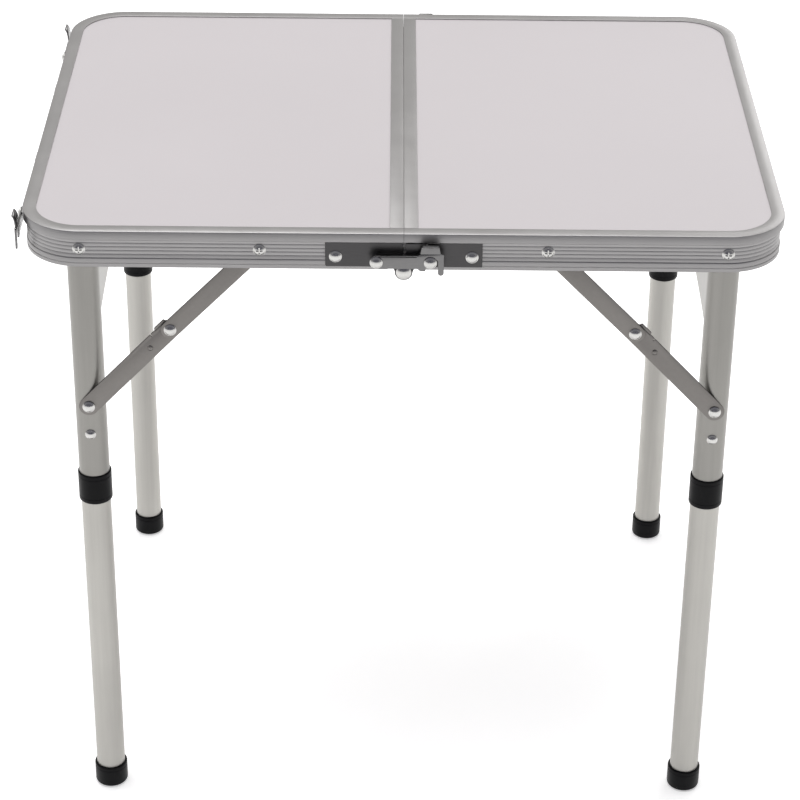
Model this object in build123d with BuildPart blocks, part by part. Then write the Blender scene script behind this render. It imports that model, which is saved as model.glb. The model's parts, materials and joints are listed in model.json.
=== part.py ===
from build123d import *
import os
from math import asin, atan2, cos, degrees, hypot, sin

# Folding camp table: two framed leaves hinged at the seam, two pairs of swing legs held by
# folding braces, and plug-in leg extensions. Millimetres, +Z up, the floor at Z = 0, the seam
# along Y at X = 0. "depth" below always means the distance out from the middle plane Y = 0.

os.makedirs("parts", exist_ok=True)

# ---- table ----
table_length = 600.0
table_depth = 450.0
table_height = 550.0
seam_gap = 0.6
running_clearance = 0.05        # radial, for a pin in a turning part
body_clearance = 0.3            # between parts that move past each other
cut_over = 1.0                  # how far a cut runs past the face it opens

# ---- leaf frame, an aluminium extrusion bent round each leaf ----
rim_height = 32.0
corner_radius = 48.0
lip_width = 10.7
lip_thickness = 1.0
rim_wall = 1.5
top_band = 8.0                  # plain band under the lip
recess_band = 16.0              # sunk band that takes the screws and plates
recess_depth = 4.0
flange_depth = 2.0              # how far the lower flange stands back
web_thickness = 1.2
panel_thickness = 2.5
panel_clearance = 0.2
ledge_reach = 4.0               # how far the panel ledge passes the recess wall
notch_half_width = 12.5
notch_height = 4.0

# ---- legs ----
leg_radius = 12.5
leg_wall = 1.0
leg_top_gap = 0.5               # from the leg's round top to the panel
joint_drop = 256.0              # from the table top to the joint in the leg
extension_step = 0.35           # how much slimmer the extension is than the leg
spigot_clearance = 0.08
spigot_insert = 60.0
spigot_tail = 44.0
spigot_wall = 1.9
collar_height = 26.5
collar_wall = 1.25
collar_round = 0.75
collar_lip = 2.0
collar_grip = 0.1               # how far the collar's lip bites into the leg's end
foot_height = 20.0
foot_wall = 1.85
foot_floor = 3.0
foot_round = 3.0

# ---- arched stretcher plate between the legs of a pair ----
plate_thickness = 1.2
plate_top_drop = 24.0           # from the table top
plate_height = 138.0
arch_rise = 36.0
arch_edge = 1.0
plate_bite = 0.05               # how far the plate's ends press into the legs

# ---- folding braces ----
brace_top_inset = 188.0         # from the table's end to the brace's rim pivot
brace_top_drop = 16.0
brace_foot_drop = 162.0         # from the table top to the brace's pivot on the leg
knee_out = 72.0                 # the knee's place, from the rim pivot towards the leg
knee_drop = 74.0
brace_thickness = 1.5
brace_gap = 1.4                 # from the upper brace to the inside of the rim
lower_brace_width = 16.0
upper_brace_width = 15.0
brace_spacer_wall = 2.0

# ---- screws and rivets ----
screw_radius = 3.0
screw_head_radius = 5.0
screw_head_height = 2.8
cross_length = 5.2
cross_width = 1.1
cross_depth = 1.3
nut_radius = 5.5
nut_thickness = 4.0
spacer_radius = 5.5
spacer_gap = 0.5                # to the rim, whose corner starts to bend at the leg
rivet_radius = 2.5
rivet_head_radius = 5.0
rivet_head_height = 2.6
knee_back_trim = 1.0            # how much smaller and lower the knee rivet's back head is
stop_screw_rise = 7.0           # from the spigot's top to the screw above it
stop_head_trim = 0.6
shank_reach = 1.0               # past the inside of the leg's wall

# ---- seam hinge plates and swing latches ----
hinge_plate_length = 59.5
hinge_plate_start = 1.5         # from the seam
hinge_plate_thickness = 1.4
hinge_plate_lap = 0.8           # how far the plate covers the notch
hinge_drop = 0.5                # from the rim's lower edge to the hinge axis
hinge_rivet_head = 6.0
hinge_rivet_step = 1.5          # how much wider the rivet is behind the plates
hinge_lug_radius = 7.0
hinge_neck = 8.0                # width of the plate where it runs into the lug
hinge_neck_lap = 2.0
joggle_length = 4.0
joggle_gap = 0.1                # from the joggle to the latch's catch post
plate_rivet_inset = 8.0
plate_rivet_rise = 1.0          # above the latch posts
latch_post_rise = 3.0           # above the recess's lower edge
latch_pivot_x = -21.3
latch_span = 41.9
latch_standoff = 6.6            # from the hinge plate to the blade
latch_thickness = 1.4
latch_width = 11.0
latch_flange_gap = 3.0          # from the hinge plate to the blade's folded edge
latch_head_reach = 10.4
latch_head_height = 15.0
latch_shoulder = 4.0            # from the slot to the head's inner end
latch_slot_side = 3.7           # slot wall to the post's centre, on the pivot's side
latch_slot_free = 5.9           # the same, on the free side
finger_drop = 17.0
finger_width = 4.6
tab_width = 16.0
tab_reach = 9.0
tab_rise = 7.0
tab_root = 1.0                  # how far the tab starts inside the head
post_radius = 2.5
post_sleeve_radius = 4.0

# ---- carry handle and swing latches on the left end ----
handle_length = 124.0
handle_thickness = 3.0
handle_drop = 13.0              # from the table top to the handle's pins
handle_height = 15.0
handle_grip_height = 6.5
handle_arm_width = 9.0
handle_pin_radius = 1.3
handle_round = 1.35
pin_notch = 4.0                 # height of the cut that parts the handle's two pins
bracket_length = 16.0
bracket_height = 15.0
bracket_proud = 3.0             # past the rim
bracket_round = 2.0
keeper_stand = 1.2
end_latch_inset = 67.0          # from the table's front or rear to the latch's pivot
end_latch_span = 32.0
end_latch_drop = 18.0
end_latch_proud = 3.0
end_latch_tab_proud = 8.0

SIDES = {"left": -1, "right": 1}
FACES = {"front": (0, -1), "rear": (0, 1)}      # the way each face looks, as X and Y
LEFT_END = (-1, 0)
RIGHT_END = (1, 0)

# ---- worked out from the sizes above ----

rim_bottom = table_height - rim_height
lip_under = table_height - lip_thickness
panel_bottom = lip_under - panel_thickness
recess_top = table_height - top_band
flange_top = recess_top - recess_band
half_length = table_length / 2
half_depth = table_depth / 2
recess_face = half_depth - recess_depth
wall_inside = recess_face - rim_wall
flange_face = half_depth - flange_depth
leg_x = half_length - corner_radius             # where the rim begins to bend
leg_face = wall_inside - brace_gap - 2 * (brace_thickness + body_clearance)
leg_y = leg_face - leg_radius
pivot_z = panel_bottom - leg_top_gap - leg_radius
extension_length = table_height - joint_drop
extension_radius = leg_radius - extension_step
foot_radius = extension_radius + foot_wall
spigot_radius = leg_radius - leg_wall - spigot_clearance
stop_screw_z = extension_length + spigot_insert + stop_screw_rise
brace_top_x = half_length - brace_top_inset
brace_top_z = table_height - brace_top_drop
brace_foot_z = table_height - brace_foot_drop
knee_x = brace_top_x + knee_out
knee_z = brace_top_z - knee_drop
lower_brace_back = leg_face + body_clearance
lower_brace_face = lower_brace_back + brace_thickness
upper_brace_back = lower_brace_face + body_clearance
upper_brace_face = upper_brace_back + brace_thickness
hinge_z = rim_bottom - hinge_drop
plate_face = flange_face + hinge_plate_thickness
joggle_back = plate_face + body_clearance
joggle_face = joggle_back + hinge_plate_thickness
latch_z = flange_top + latch_post_rise
catch_x = latch_pivot_x + latch_span
joggle_end = catch_x - post_radius - joggle_gap
blade_back = plate_face + latch_standoff
blade_face = blade_back + latch_thickness


def keep(piece, label):
    """Name a finished sub-part and write its STEP file."""
    piece.part.label = label
    export_step(piece.part, f"parts/{label}.step")


def wall(face, depth):
    """A plane that looks out of a face, at a distance from the middle, with its y axis up."""
    x, y = face
    return Plane(origin=(x * depth, y * depth, 0), x_dir=(-y, x, 0), z_dir=(x, y, 0))


def on_wall(face, along, z):
    """The place on wall() of a point given by its height and its X, or its Y on an end."""
    return (along * (face[0] - face[1]), z)


def disc(face, x, z, radius, low, high, mode=Mode.ADD):
    """A round bar straight out of a face, between two depths."""
    with BuildSketch(wall(face, low)) as profile:
        with Locations(on_wall(face, x, z)):
            Circle(radius)
    extrude(profile.sketch, amount=high - low, mode=mode)


def block(face, x_range, z_range, low, high, mode=Mode.ADD):
    """A block between two depths, given by its ranges along the face and in height."""
    x = sum(x_range) / 2
    z = sum(z_range) / 2
    with BuildSketch(wall(face, low)) as profile:
        with Locations(on_wall(face, x, z)):
            Rectangle(abs(x_range[1] - x_range[0]), abs(z_range[1] - z_range[0]))
    extrude(profile.sketch, amount=high - low, mode=mode)


def strip(face, start, end, width, low, high):
    """A flat link with round ends between two points on a face."""
    run = (end[0] - start[0]) * (face[0] - face[1])
    rise = end[1] - start[1]
    with BuildSketch(wall(face, low)) as profile:
        with Locations(on_wall(face, (start[0] + end[0]) / 2, (start[1] + end[1]) / 2)):
            SlotCenterToCenter(hypot(run, rise), width, rotation=degrees(atan2(rise, run)))
    extrude(profile.sketch, amount=high - low)


def dome(face, x, z, radius, height, depth):
    """A round head: a spherical cap standing out from a depth."""
    sphere = (radius**2 + height**2) / (2 * height)
    half = asin(radius / sphere) / 2
    middle = (sphere * sin(half), height - sphere + sphere * cos(half))
    surface = wall(face, depth)
    centre = surface.from_local_coords(on_wall(face, x, z))
    with BuildSketch(Plane(origin=centre, x_dir=surface.x_dir, z_dir=(0, 0, 1))) as profile:
        with BuildLine():
            Line((0, 0), (radius, 0))
            ThreePointArc((radius, 0), (middle[0], -middle[1]), (0, -height))
            Line((0, -height), (0, 0))
        make_face()
    revolve(profile.sketch, axis=Axis(centre, surface.z_dir))


def cross(face, x, z, depth):
    """Cut a cross recess into a screw head whose top is at a depth."""
    for length, height in ((cross_length, cross_width), (cross_width, cross_length)):
        x_range = (x - length / 2, x + length / 2)
        z_range = (z - height / 2, z + height / 2)
        block(face, x_range, z_range, depth - cross_depth, depth + cut_over, Mode.SUBTRACT)


def nut(face, x, z, low):
    """A hexagon nut on a screw."""
    with BuildSketch(wall(face, low)) as profile:
        with Locations(on_wall(face, x, z)):
            RegularPolygon(nut_radius, 6)
            Circle(screw_radius, mode=Mode.SUBTRACT)
    extrude(profile.sketch, amount=nut_thickness)


def tube(x, y, outer, inner, low, high, mode=Mode.ADD):
    """An upright tube; with no inner radius, a bar."""
    with BuildSketch(Plane.XY.offset(low)) as profile:
        with Locations((x, y)):
            Circle(outer)
            if inner:
                Circle(inner, mode=Mode.SUBTRACT)
    extrude(profile.sketch, amount=high - low, mode=mode)


# ---- leaves ----
def leaf_outline(side, inset, seam_inset):
    """Plan of one leaf, drawn in from its outside and from the seam."""
    near = seam_gap / 2 + seam_inset
    far = half_length - inset
    with BuildSketch(mode=Mode.PRIVATE) as outline:
        with Locations((side * (near + far) / 2, 0)):
            Rectangle(far - near, 2 * (half_depth - inset))
        outer = outline.vertices().sort_by(Axis.X)
        fillet(outer[2:] if side > 0 else outer[:2], corner_radius - inset)
    return outline.sketch


def band(side, outer, inner, seam_inner, low, high):
    """One closed band of a leaf's frame."""
    with BuildSketch(Plane.XY.offset(low)) as profile:
        add(leaf_outline(side, outer, 0))
        add(leaf_outline(side, inner, seam_inner), mode=Mode.SUBTRACT)
    extrude(profile.sketch, amount=high - low)


wall_inset = half_depth - wall_inside
ledge_inset = wall_inset + ledge_reach
for name, side in SIDES.items():
    with BuildPart() as frame:
        band(side, 0, lip_width, lip_width, lip_under, table_height)
        band(side, 0, rim_wall, rim_wall, recess_top, lip_under)
        band(side, 0, wall_inset, rim_wall, recess_top, recess_top + web_thickness)
        band(side, recess_depth, wall_inset, rim_wall, flange_top, recess_top)
        band(side, flange_depth, wall_inset, rim_wall, flange_top - web_thickness, flange_top)
        band(side, flange_depth, flange_depth + rim_wall, rim_wall, rim_bottom, flange_top)
        band(side, 0, ledge_inset, ledge_inset, panel_bottom - web_thickness, panel_bottom)
        for face in FACES.values():
            notch = (rim_bottom - cut_over, rim_bottom + notch_height)
            block(face, (0, side * notch_half_width), notch, leg_face, half_depth, Mode.SUBTRACT)
            for x, z in ((leg_x, pivot_z), (brace_top_x, brace_top_z)):
                low = wall_inside - cut_over
                disc(face, side * x, z, screw_radius, low, half_depth, Mode.SUBTRACT)
    keep(frame, f"{name}_frame")

    with BuildPart() as panel:
        with BuildSketch(Plane.XY.offset(panel_bottom)):
            add(leaf_outline(side, rim_wall + panel_clearance, rim_wall + panel_clearance))
        extrude(amount=panel_thickness)
    keep(panel, f"{name}_panel")

# ---- screws through the rim: leg pivots and brace pivots, with spacers and nuts ----
for name, side in SIDES.items():
    with BuildPart() as leg_pivots:
        for face in FACES.values():
            x = side * leg_x
            inner = leg_y - leg_radius - body_clearance - nut_thickness
            disc(face, x, pivot_z, screw_radius, inner, recess_face)
            dome(face, x, pivot_z, screw_head_radius, screw_head_height, recess_face)
            cross(face, x, pivot_z, recess_face + screw_head_height)
            nut(face, x, pivot_z, inner)
    keep(leg_pivots, f"{name}_leg_pivot_screws")

    with BuildPart() as spacers:
        for face in FACES.values():
            low = leg_face + body_clearance
            high = wall_inside - spacer_gap
            disc(face, side * leg_x, pivot_z, spacer_radius, low, high)
            disc(face, side * leg_x, pivot_z, screw_radius, low, high, Mode.SUBTRACT)
    keep(spacers, f"{name}_leg_spacers")

    with BuildPart() as brace_pivots:
        for face in FACES.values():
            x = side * brace_top_x
            inner = upper_brace_back - body_clearance - nut_thickness
            disc(face, x, brace_top_z, screw_radius, inner, recess_face)
            dome(face, x, brace_top_z, screw_head_radius, screw_head_height, recess_face)
            cross(face, x, brace_top_z, recess_face + screw_head_height)
            nut(face, x, brace_top_z, inner)
            low = upper_brace_face + body_clearance
            disc(face, x, brace_top_z, screw_radius + brace_spacer_wall, low, wall_inside)
    keep(brace_pivots, f"{name}_brace_pivot_screws")

# ---- legs, collars, extensions and feet ----
leg_bottom = extension_length + collar_lip
for name, side in SIDES.items():
    for end, face in FACES.items():
        x = side * leg_x
        y = face[1] * leg_y
        with BuildPart() as leg:
            tube(x, y, leg_radius, leg_radius - leg_wall, leg_bottom, pivot_z + leg_radius)
            low = leg_y - leg_radius - cut_over
            high = leg_face + cut_over
            with BuildSketch(wall(face, low)):
                with Locations(on_wall(face, x, pivot_z)):
                    Circle(leg_radius)
                with Locations(on_wall(face, x, (leg_bottom + pivot_z) / 2)):
                    Rectangle(2 * leg_radius + cut_over, pivot_z - leg_bottom)
            extrude(amount=high - low, mode=Mode.INTERSECT)
            disc(face, x, pivot_z, screw_radius + running_clearance, low, high, Mode.SUBTRACT)
            for z in (brace_foot_z, stop_screw_z):
                disc(face, x, z, rivet_radius, leg_y, high, Mode.SUBTRACT)
        keep(leg, f"{name}_{end}_leg")

        with BuildPart() as collar:
            top = extension_length + collar_height
            tube(x, y, leg_radius + collar_wall, leg_radius, extension_length, top)
            bore = leg_radius - leg_wall
            tube(x, y, leg_radius + collar_grip, bore, extension_length, leg_bottom)
            rims = collar.edges().filter_by(GeomType.CIRCLE)
            outer_rims = rims.filter_by(lambda rim: rim.radius > leg_radius + collar_wall / 2)
            fillet(outer_rims, collar_round)
        keep(collar, f"{name}_{end}_leg_collar")

        with BuildPart() as extension:
            top = extension_length - body_clearance
            bore = extension_radius - leg_wall
            tube(x, y, extension_radius, bore, foot_floor, top)
            spigot_bore = spigot_radius - spigot_wall
            tube(x, y, bore, spigot_bore, top - spigot_tail, top)
            tube(x, y, spigot_radius, spigot_bore, top, extension_length + spigot_insert)
        keep(extension, f"{name}_{end}_leg_extension")

        with BuildPart() as foot:
            tube(x, y, foot_radius, 0, 0, foot_height)
            bottom_rim = foot.edges().filter_by(GeomType.CIRCLE).sort_by(Axis.Z)[0]
            fillet(bottom_rim, foot_round)
            top = foot_height + cut_over
            tube(x, y, extension_radius, 0, foot_floor, top, Mode.SUBTRACT)
        keep(foot, f"{name}_{end}_foot")

    # ---- arched stretcher plate ----
    with BuildPart() as stretcher:
        span = leg_y - leg_radius
        top = table_height - plate_top_drop
        base = top - plate_height
        with BuildSketch(Plane.YZ.offset(side * leg_x - plate_thickness / 2)):
            with Locations((0, (top + base) / 2)):
                Rectangle(2 * (span + plate_bite), plate_height)
            with Locations((0, base)):
                Ellipse(span - arch_edge, arch_rise, mode=Mode.SUBTRACT)
        extrude(amount=plate_thickness)
    keep(stretcher, f"{name}_stretcher_plate")

    # ---- rivets that hold the braces and the stop screws on the legs ----
    with BuildPart() as leg_rivets:
        for face in FACES.values():
            x = side * leg_x
            low = leg_face - leg_wall - shank_reach
            high = lower_brace_face + body_clearance
            disc(face, x, brace_foot_z, rivet_radius, low, high)
            dome(face, x, brace_foot_z, rivet_head_radius, rivet_head_height, high)
            head = rivet_head_radius - stop_head_trim
            disc(face, x, stop_screw_z, rivet_radius, low, leg_face)
            dome(face, x, stop_screw_z, head, rivet_head_height, leg_face)
    keep(leg_rivets, f"{name}_leg_rivets")

# ---- folding braces ----
for name, side in SIDES.items():
    for end, face in FACES.items():
        knee = (side * knee_x, knee_z)
        foot_pin = (side * leg_x, brace_foot_z)
        rim_pin = (side * brace_top_x, brace_top_z)
        with BuildPart() as lower_brace:
            strip(face, foot_pin, knee, lower_brace_width, lower_brace_back, lower_brace_face)
            disc(face, *foot_pin, rivet_radius + running_clearance, lower_brace_back - cut_over,
                 lower_brace_face + cut_over, Mode.SUBTRACT)
            inward = (0, -face[1])
            dome(inward, *knee, rivet_head_radius - knee_back_trim,
                 rivet_head_height - knee_back_trim, -lower_brace_back)
        keep(lower_brace, f"{name}_{end}_lower_brace")

        with BuildPart() as upper_brace:
            strip(face, knee, rim_pin, upper_brace_width, upper_brace_back, upper_brace_face)
            disc(face, *rim_pin, screw_radius + running_clearance, upper_brace_back - cut_over,
                 upper_brace_face + cut_over, Mode.SUBTRACT)
        keep(upper_brace, f"{name}_{end}_upper_brace")

        with BuildPart() as knee_rivet:
            dome(face, *knee, rivet_head_radius, rivet_head_height, upper_brace_face)
        keep(knee_rivet, f"{name}_{end}_knee_rivet")

# ---- seam hinges: a plate on each leaf, riveted together under the seam ----
plate_z = (rim_bottom + notch_height - hinge_plate_lap, recess_top)
plate_end = hinge_plate_start + hinge_plate_length
neck_z = (hinge_z, plate_z[0] + hinge_neck_lap)


def lug(face, reach, hole, low, high):
    """The round lug of a hinge plate, its neck on one side, and its hole."""
    disc(face, 0, hinge_z, hinge_lug_radius, low, high)
    block(face, (0, reach), neck_z, low, high)
    disc(face, 0, hinge_z, hole, low - cut_over, high + cut_over, Mode.SUBTRACT)


with BuildPart() as left_hinge_plates:
    for face in FACES.values():
        block(face, (-plate_end, -hinge_plate_start), plate_z, flange_face, plate_face)
        lug(face, -hinge_neck, screw_radius, flange_face, plate_face)
keep(left_hinge_plates, "left_hinge_plates")

# the right plate steps out over the left one before its lug
with BuildPart() as right_hinge_plates:
    for face in FACES.values():
        joggle_start = joggle_end - joggle_length
        block(face, (joggle_start, plate_end), plate_z, flange_face, plate_face)
        block(face, (joggle_start, joggle_end), plate_z, flange_face, joggle_face)
        block(face, (hinge_plate_start, joggle_end), plate_z, joggle_back, joggle_face)
        lug(face, hinge_neck, screw_radius + running_clearance, joggle_back, joggle_face)
keep(right_hinge_plates, "right_hinge_plates")

for name, side in SIDES.items():
    with BuildPart() as plate_rivets:
        for face in FACES.values():
            x = side * (plate_end - plate_rivet_inset)
            z = latch_z + plate_rivet_rise
            dome(face, x, z, rivet_head_radius, rivet_head_height, plate_face)
    keep(plate_rivets, f"{name}_hinge_plate_rivets")

with BuildPart() as hinge_rivets:
    for face in FACES.values():
        inner = flange_face - rim_wall
        under_head = joggle_face + body_clearance
        disc(face, 0, hinge_z, screw_radius + hinge_rivet_step, inner, flange_face)
        disc(face, 0, hinge_z, screw_radius, flange_face, under_head)
        dome(face, 0, hinge_z, hinge_rivet_head, rivet_head_height, under_head)
keep(hinge_rivets, "hinge_rivets")

# ---- swing latches over the seam, one at the front and one at the rear ----
for name, x in (("left", latch_pivot_x), ("right", catch_x)):
    with BuildPart() as posts:
        for face in FACES.values():
            under_head = blade_face + body_clearance
            disc(face, x, latch_z, post_radius, plate_face, under_head)
            dome(face, x, latch_z, rivet_head_radius, rivet_head_height, under_head)
            if name == "left":
                sleeve_end = blade_back - body_clearance
                disc(face, x, latch_z, post_sleeve_radius, plate_face, sleeve_end)
    keep(posts, f"{name}_latch_posts")


def latch_blade(face, x, z, hand, span, back, tab):
    """A swing latch: blade, hooked head open downwards, finger and thumb tab."""
    front = back + latch_thickness
    tip = x + hand * span
    slot_start = tip - hand * latch_slot_side
    slot_end = tip + hand * latch_slot_free
    head_start = slot_start - hand * latch_shoulder
    head_end = slot_end + hand * finger_width
    top = z + latch_head_height / 2
    finger_tip = z - finger_drop
    strip(face, (x, z), (tip - hand * latch_head_reach / 2, z), latch_width, back, front)
    block(face, (head_start, head_end), (z - latch_head_height / 2, top), back, front)
    block(face, (slot_end, head_end), (finger_tip, z), back, front)
    tab_range = (tip - tab_width / 2, tip + tab_width / 2)
    block(face, tab_range, (top - tab_root, top + tab_rise), back, front)
    lip = (top + tab_rise - latch_thickness, top + tab_rise)
    block(face, tab_range, lip, back, back + tab)
    slot_z = (finger_tip - cut_over, z + post_radius + body_clearance)
    block(face, (slot_start, slot_end), slot_z, back - cut_over, front + cut_over, Mode.SUBTRACT)
    hole = post_radius + running_clearance
    disc(face, x, z, hole, back - cut_over, front + cut_over, Mode.SUBTRACT)


for end, face in FACES.items():
    with BuildPart() as latch:
        latch_blade(face, latch_pivot_x, latch_z, 1, latch_span, blade_back, tab_reach)
        blade_top = latch_z + latch_width / 2
        folded_edge = (blade_top - latch_thickness, blade_top)
        block(face, (latch_pivot_x, catch_x - latch_head_reach), folded_edge,
              plate_face + latch_flange_gap, blade_face)
    keep(latch, f"{end}_latch")

# ---- left end: two swing latches, their posts, the handle and its brackets ----
end_face = half_length - recess_depth
end_latch_y = half_depth - end_latch_inset
end_latch_z = table_height - end_latch_drop
end_back = half_length + end_latch_proud
end_front = end_back + latch_thickness
with BuildPart() as end_posts:
    for hand in (-1, 1):
        y = hand * end_latch_y
        under_head = end_front + body_clearance
        disc(LEFT_END, y, end_latch_z, post_sleeve_radius, end_face, end_back - body_clearance)
        disc(LEFT_END, y, end_latch_z, post_radius, end_face, under_head)
        dome(LEFT_END, y, end_latch_z, rivet_head_radius, rivet_head_height, under_head)
keep(end_posts, "end_latch_posts")

for end, hand in (("front", -1), ("rear", 1)):
    with BuildPart() as end_latch:
        tab = end_latch_tab_proud - end_latch_proud
        latch_blade(LEFT_END, hand * end_latch_y, end_latch_z, hand, end_latch_span, end_back, tab)
    keep(end_latch, f"{end}_end_latch")

with BuildPart() as keepers:
    for hand in (-1, 1):
        y = hand * end_latch_y
        under_head = end_face + keeper_stand
        disc(RIGHT_END, y, end_latch_z, post_radius, end_face, under_head)
        dome(RIGHT_END, y, end_latch_z, rivet_head_radius, rivet_head_height, under_head)
keep(keepers, "end_latch_keepers")

handle_z = table_height - handle_drop
handle_back = half_length - flange_depth + body_clearance
handle_face = handle_back + handle_thickness
handle_middle = (handle_back + handle_face) / 2
half_handle = handle_length / 2


def handle_pins(reach, radius, mode):
    """A bar along the handle's turning line, out to a distance each way."""
    with BuildSketch(Plane.XZ.offset(-reach)) as profile:
        with Locations((-handle_middle, handle_z)):
            Circle(radius)
    extrude(profile.sketch, amount=2 * reach, mode=mode)


with BuildPart() as handle:
    low = handle_z - handle_height
    high = handle_z + handle_thickness / 2
    back_cut = handle_back - cut_over
    face_cut = handle_face + cut_over
    block(LEFT_END, (-half_handle, half_handle), (low, high), handle_back, handle_face)
    opening = (handle_arm_width - half_handle, half_handle - handle_arm_width)
    over_grip = (low + handle_grip_height, high + cut_over)
    block(LEFT_END, opening, over_grip, back_cut, face_cut, Mode.SUBTRACT)
    fillet(handle.edges().filter_by(Axis.X), handle_round)
    handle_pins(half_handle + bracket_length / 2, handle_pin_radius, Mode.ADD)
    notch = (handle_z - pin_notch / 2, handle_z + pin_notch / 2)
    block(LEFT_END, opening, notch, back_cut, face_cut, Mode.SUBTRACT)
keep(handle, "carry_handle")

with BuildPart() as brackets:
    top = recess_top - body_clearance
    for hand in (-1, 1):
        near = hand * (half_handle + body_clearance)
        far = near + hand * bracket_length
        proud = half_length + bracket_proud
        block(LEFT_END, (near, far), (top - bracket_height, top), end_face, proud)
    outer = brackets.faces().sort_by(Axis.X)[:2]
    fillet(outer.edges(), bracket_round)
    handle_pins(handle_length, handle_pin_radius + running_clearance, Mode.SUBTRACT)
keep(brackets, "handle_brackets")
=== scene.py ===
"""Folding camp table: finishes, turned and pressed detail, and a plain studio stage."""
import json
import math

import bpy
from bpy.props import FloatProperty, FloatVectorProperty, PointerProperty
from mathutils import Matrix, Vector


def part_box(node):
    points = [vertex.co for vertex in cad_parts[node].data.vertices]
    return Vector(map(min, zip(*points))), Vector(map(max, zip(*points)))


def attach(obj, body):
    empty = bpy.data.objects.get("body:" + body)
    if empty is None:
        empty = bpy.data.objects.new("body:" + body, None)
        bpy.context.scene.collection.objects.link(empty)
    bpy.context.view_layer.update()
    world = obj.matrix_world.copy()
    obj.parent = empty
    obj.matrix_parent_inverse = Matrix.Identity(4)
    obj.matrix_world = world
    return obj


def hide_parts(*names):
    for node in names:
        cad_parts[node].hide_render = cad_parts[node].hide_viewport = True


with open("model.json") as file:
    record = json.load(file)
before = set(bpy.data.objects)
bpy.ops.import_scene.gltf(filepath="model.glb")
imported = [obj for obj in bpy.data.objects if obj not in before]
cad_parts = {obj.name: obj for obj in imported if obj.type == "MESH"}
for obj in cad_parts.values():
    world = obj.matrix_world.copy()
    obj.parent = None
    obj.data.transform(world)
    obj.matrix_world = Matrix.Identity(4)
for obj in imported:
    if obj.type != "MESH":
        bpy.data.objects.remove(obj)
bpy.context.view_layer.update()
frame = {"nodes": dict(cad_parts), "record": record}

bl_info = {
    "name": "Folding table finishes",
    "version": (1, 0, 0),
    "blender": (4, 5, 0),
    "location": "3D View > Sidebar > Table",
    "description": "Finishes and detail pieces for a folding camp table",
    "category": "Object",
}

MM = 0.001
SIDES = {"left": -1, "right": 1}
ENDS = {"front": -1, "rear": 1}

SMOOTH_ANGLE = math.radians(35)
PLAY = 0.3 * MM
NUT_RADIUS = 5.5 * MM
NUT_THICKNESS = 4 * MM
SCREW_HEAD_RADIUS = 5 * MM
SCREW_HEAD_HEIGHT = 2.8 * MM
SCREW_SHANK_RADIUS = 3 * MM
RIVET_SHANK_RADIUS = 2.5 * MM
LINK_THICKNESS = 1.5 * MM
PLATE_THICKNESS = 1.4 * MM
LATCH_THICKNESS = 1.4 * MM
RIM_WALL = 5.5 * MM
RIM_LIP_WIDTH = 10.7 * MM
RIM_LIP_THICKNESS = 1 * MM
LEDGE_TOP = 3.5 * MM
LEDGE_BOTTOM = 4.7 * MM

# Layers of the front and rear faces, by their distance from the middle of the table.
LEG_SCREW_END = 0.1852
BRACE_SCREW_END = 0.2123
LEG_FACE = 0.2145
LOWER_LINK_BACK = 0.2148
UPPER_LINK_BACK = 0.2166
KNEE_HEAD_SEAT = 0.2181
COLLAR_START = 0.2184
SPACER_END = 0.219
RIM_INSIDE = 0.2195
RIM_SCREW_SEAT = 0.2223
PLATE_BACK = 0.223
PLATE_FRONT = 0.2244
LUG_BACK = 0.2247
LUG_FRONT = 0.2261
HINGE_HEAD_SEAT = 0.2264
LATCH_BACK = 0.231
LATCH_HEAD_SEAT = 0.2327

# Layers of the left and right ends, by their distance from the seam.
BRACKET_BACK = 0.296
KEEPER_SEAT = 0.2972
GRIP_BACK = 0.2983
HANDLE_PIN = 0.2998
BRACKET_SCREW_SEAT = 0.3029
END_LATCH_BACK = 0.303
END_LATCH_HEAD_SEAT = 0.3047


# ---------------------------------------------------------------- materials
class Recipe:
    """A short way to add and join a material's nodes."""

    def __init__(self, name):
        self.material = bpy.data.materials.new(name)
        self.material.use_nodes = True
        self.tree = self.material.node_tree
        self.shader = self.tree.nodes["Principled BSDF"]
        self.place = self.tree.nodes.new("ShaderNodeTexCoord").outputs["Object"]

    def node(self, kind, inputs=None, **settings):
        made = self.tree.nodes.new(kind)
        for key, value in settings.items():
            setattr(made, key, value)
        for key, value in (inputs or {}).items():
            if isinstance(value, bpy.types.NodeSocket):
                self.tree.links.new(value, made.inputs[key])
            else:
                made.inputs[key].default_value = value
        return made

    def stretched(self, scale):
        """The piece's own coordinates, scaled differently along X, Y and Z."""
        made = self.node("ShaderNodeMapping", {"Vector": self.place, "Scale": scale})
        return made.outputs["Vector"]

    def noise(self, scale, detail=4.0, rough=0.55, where=None):
        made = self.node("ShaderNodeTexNoise", {
            "Vector": where or self.place, "Scale": scale, "Detail": detail,
            "Roughness": rough})
        return made.outputs["Fac"]

    def ramp(self, value, low, high, colors):
        made = self.node("ShaderNodeValToRGB", {"Fac": value})
        for stop, place, color in zip(made.color_ramp.elements, (low, high), colors):
            stop.position = place
            stop.color = (*color, 1.0)
        return made.outputs["Color"]

    def spread(self, value, low, high):
        made = self.node("ShaderNodeMapRange", {"Value": value, "To Min": low, "To Max": high})
        return made.outputs["Result"]

    def bump(self, height, strength, distance):
        made = self.node("ShaderNodeBump", {
            "Height": height, "Strength": strength, "Distance": distance})
        return made.outputs["Normal"]

    def link(self, value, socket):
        self.tree.links.new(value, self.shader.inputs[socket])


def shaded(color, factor):
    return tuple(channel * factor for channel in color)


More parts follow.
